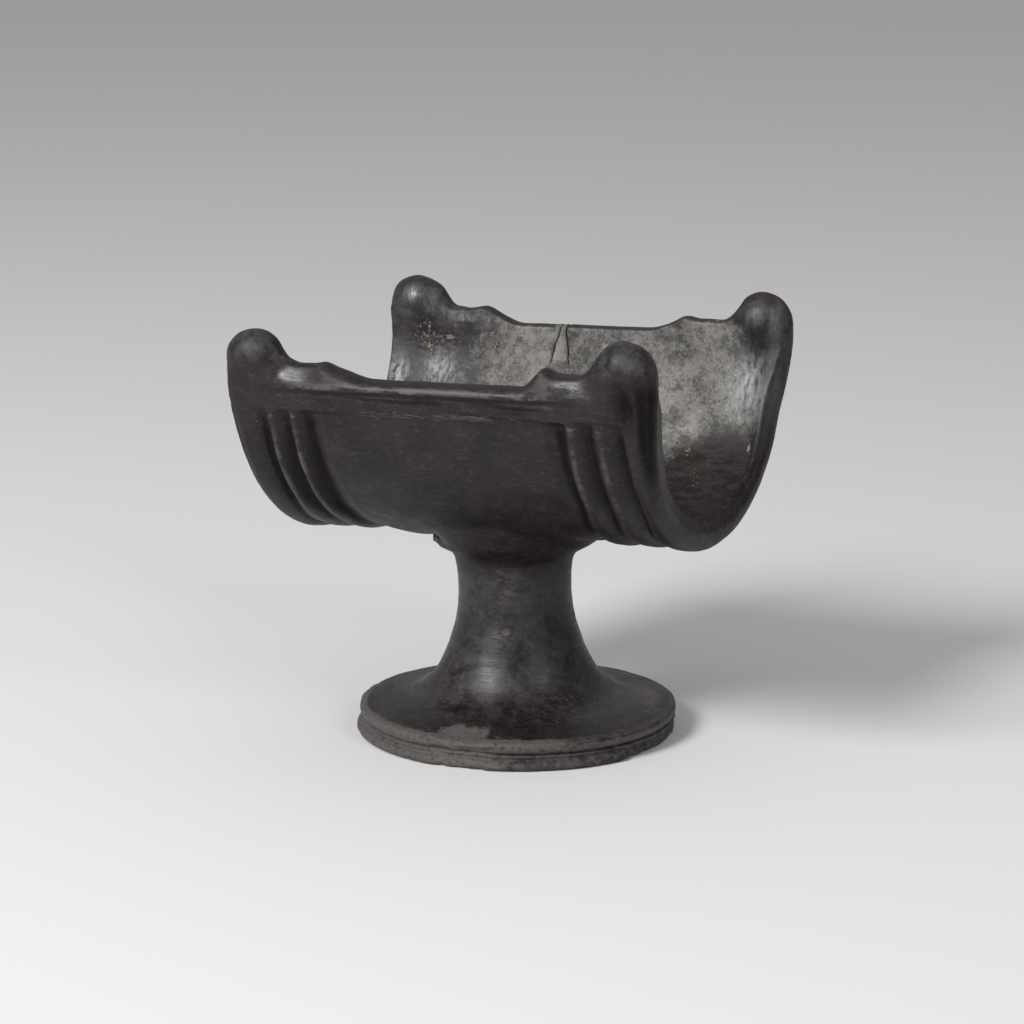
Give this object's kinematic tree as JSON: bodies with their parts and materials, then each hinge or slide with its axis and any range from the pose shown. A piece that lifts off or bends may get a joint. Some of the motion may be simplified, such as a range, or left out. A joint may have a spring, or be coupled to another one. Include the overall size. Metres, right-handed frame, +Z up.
{
  "type": "terracotta stand",
  "caption": "Black burnished terracotta stand: a half-round trough with corner knobs and ribbed ends on a hollow trumpet foot.",
  "frame": {"origin": "on the surface the stand rests on, at the centre of the bounding box seen from above", "axes": "+Z up, +X along the trough towards its slightly higher end, +Y across the trough towards the side with the cracked wall"},
  "size_m": [0.1276, 0.1107, 0.1222],
  "materials": {
    "clay": "black reduction-fired clay, burnished and worn, with pale earth in the hollows and a browner foot edge"
  },
  "bodies": {
    "root": {"stand": "clay"}
  },
  "joints": []
}
